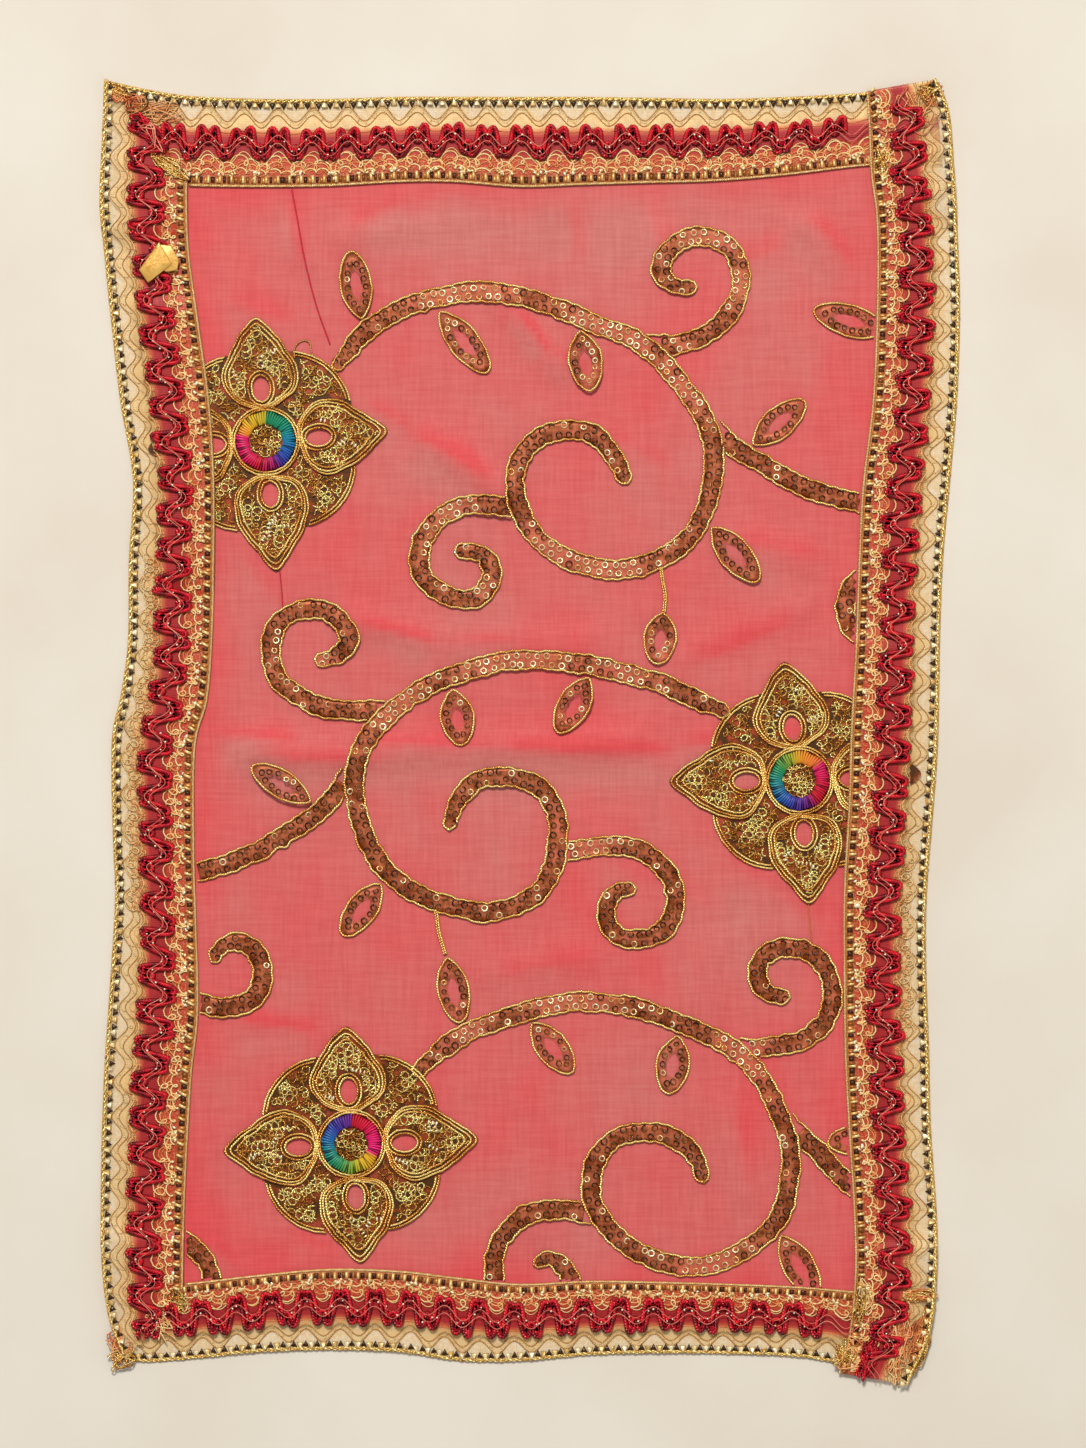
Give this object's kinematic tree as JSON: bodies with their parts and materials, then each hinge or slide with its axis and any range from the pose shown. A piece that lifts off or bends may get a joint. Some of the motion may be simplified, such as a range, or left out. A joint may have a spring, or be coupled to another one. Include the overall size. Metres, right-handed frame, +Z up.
{
  "type": "dupatta stole",
  "caption": "Small sheer dupatta stole laid flat, with corded and sequined vines, leaves and flowers and a wide openwork metallic lace border.",
  "frame": {"origin": "centre of the bounding box on the plane that the cloth lies on", "axes": "+Y along the stole's length, +X across it, +Z up out of its face"},
  "size_m": [0.4299, 0.652, 0.0067],
  "materials": {
    "net": "sheer matt coral-red net with a slight sheen",
    "lace": "knitted metallic lace, light gold and cream",
    "braid": "shiny crimson metallic yarn",
    "zari": "gold zari cord, loops and sequins",
    "ring": "satin thread wound in bands of colour",
    "foil": "folded gold foil"
  },
  "bodies": {
    "root": {"braid_bottom": "braid", "braid_left": "braid", "braid_right": "braid", "braid_top": "braid", "flower_lower": "zari", "flower_lower_ring": "ring", "flower_middle": "zari", "flower_middle_ring": "ring", "flower_upper": "zari", "flower_upper_ring": "ring", "gold_tab": "foil", "lace_bottom": "lace", "lace_left": "lace", "lace_right": "lace", "lace_top": "lace", "leaf_01": "zari", "leaf_02": "zari", "leaf_03": "zari", "leaf_04": "zari", "leaf_05": "zari", "leaf_06": "zari", "leaf_07": "zari", "leaf_08": "zari", "leaf_09": "zari", "leaf_10": "zari", "leaf_11": "zari", "leaf_12": "zari", "leaf_13": "zari", "leaf_14": "zari", "leaf_15": "zari", "leaf_16": "zari", "net_panel": "net", "stem_middle": "zari", "stem_upper": "zari", "vine_end_base": "zari", "vine_end_corner": "zari", "vine_end_left": "zari", "vine_end_right": "zari", "vine_lower": "zari", "vine_lower_branch": "zari", "vine_lower_curl": "zari", "vine_lower_hook": "zari", "vine_middle": "zari", "vine_middle_branch": "zari", "vine_middle_curl": "zari", "vine_middle_hook": "zari", "vine_upper": "zari", "vine_upper_branch": "zari", "vine_upper_curl": "zari", "vine_upper_hook": "zari"}
  },
  "joints": []
}
